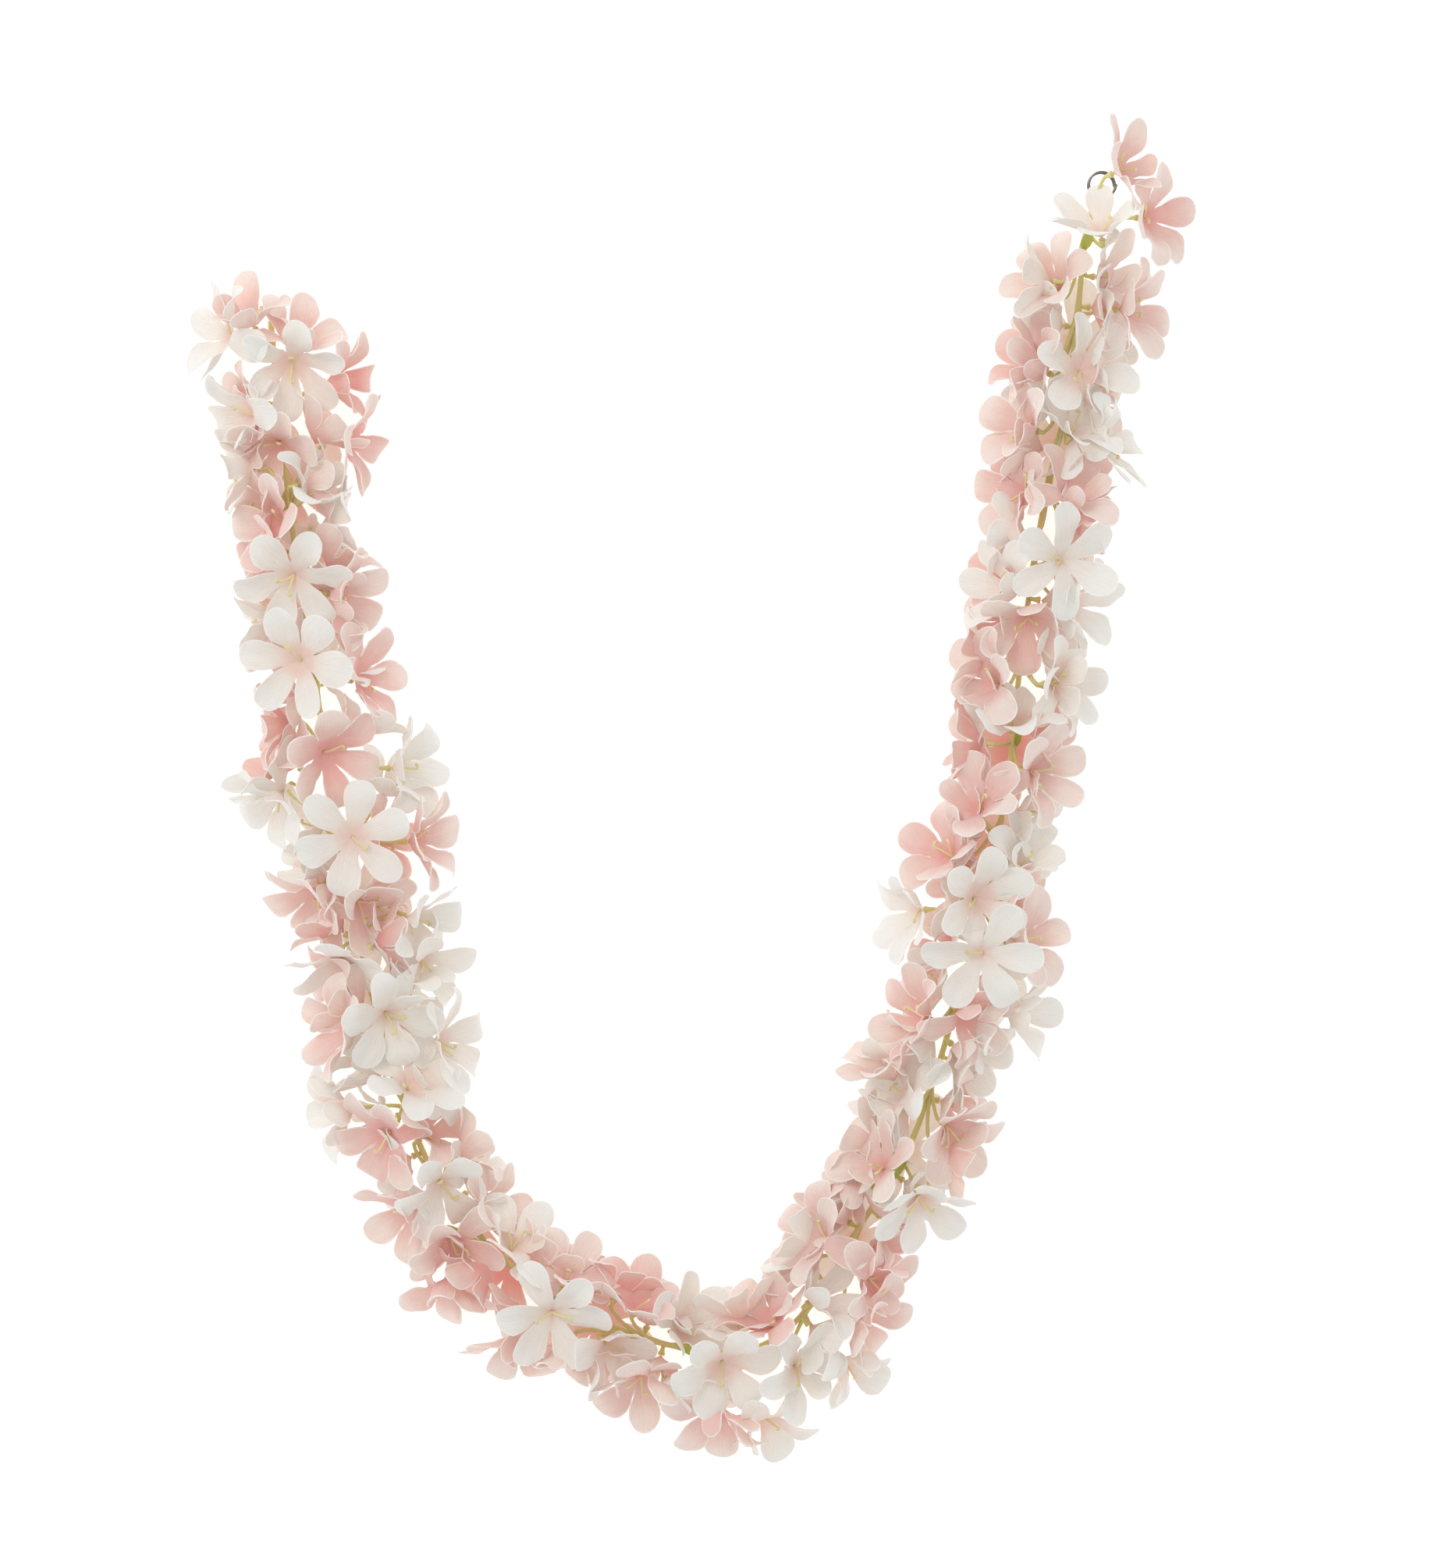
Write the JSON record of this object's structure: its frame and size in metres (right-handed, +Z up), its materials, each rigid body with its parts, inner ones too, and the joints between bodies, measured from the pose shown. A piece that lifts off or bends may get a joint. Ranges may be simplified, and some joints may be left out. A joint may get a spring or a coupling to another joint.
{
  "type": "artificial flower garland lei",
  "caption": "Open garland lei of six-petalled pink and white fabric blooms on a moulded stem, with a metal ring at one end.",
  "frame": {"origin": "centre of the bounding box at table level", "axes": "+Z up from the table the garland lies on, +Y from the bottom of the U towards its two free ends, +X towards the arm with the ring"},
  "size_m": [0.4292, 0.5716, 0.0615],
  "materials": {
    "pink_fabric": "satin, fading to near white at the petal tips",
    "white_fabric": "satin, with a faint pink throat",
    "green_plastic": "semi-matte",
    "ring_steel": "bright drawn wire"
  },
  "bodies": {
    "root": {"end_ring": "ring_steel", "pink_bloom_014": "pink_fabric", "pink_bloom_018": "pink_fabric", "pink_bloom_024": "pink_fabric", "pink_bloom_040": "pink_fabric", "pink_bloom_049": "pink_fabric", "pink_bloom_060": "pink_fabric", "pink_bloom_066": "pink_fabric", "pink_bloom_087": "pink_fabric", "pink_bloom_088": "pink_fabric", "pink_blooms_000_002": "pink_fabric", "pink_blooms_004_007": "pink_fabric", "pink_blooms_006_009": "pink_fabric", "pink_blooms_011_013": "pink_fabric", "pink_blooms_020_019": "pink_fabric", "pink_blooms_030_029_034": "pink_fabric", "pink_blooms_035_033_036": "pink_fabric", "pink_blooms_038_042": "pink_fabric", "pink_blooms_044_045": "pink_fabric", "pink_blooms_050_052_053": "pink_fabric", "pink_blooms_057_056": "pink_fabric", "pink_blooms_062_063_059": "pink_fabric", "pink_blooms_071_069_072": "pink_fabric", "pink_blooms_076_074": "pink_fabric", "pink_blooms_081_080": "pink_fabric", "pink_blooms_084_085": "pink_fabric", "pink_blooms_090_092": "pink_fabric", "pink_blooms_095_096": "pink_fabric", "pink_blooms_099_100": "pink_fabric", "pink_blooms_103_104": "pink_fabric", "stem_and_stalks": "green_plastic", "white_bloom_008": "white_fabric", "white_bloom_010": "white_fabric", "white_bloom_012": "white_fabric", "white_bloom_015": "white_fabric", "white_bloom_016": "white_fabric", "white_bloom_017": "white_fabric", "white_bloom_023": "white_fabric", "white_bloom_028": "white_fabric", "white_bloom_043": "white_fabric", "white_bloom_046": "white_fabric", "white_bloom_051": "white_fabric", "white_bloom_055": "white_fabric", "white_bloom_067": "white_fabric", "white_bloom_089": "white_fabric", "white_bloom_091": "white_fabric", "white_blooms_003_001_005": "white_fabric", "white_blooms_021_022": "white_fabric", "white_blooms_025_027_026": "white_fabric", "white_blooms_031_032": "white_fabric", "white_blooms_039_041_037": "white_fabric", "white_blooms_048_054_047": "white_fabric", "white_blooms_061_064_058": "white_fabric", "white_blooms_065_068_070": "white_fabric", "white_blooms_075_073": "white_fabric", "white_blooms_079_078_077": "white_fabric", "white_blooms_086_083_082": "white_fabric", "white_blooms_093_094": "white_fabric", "white_blooms_097_098": "white_fabric", "white_blooms_101_102": "white_fabric"}
  },
  "joints": []
}
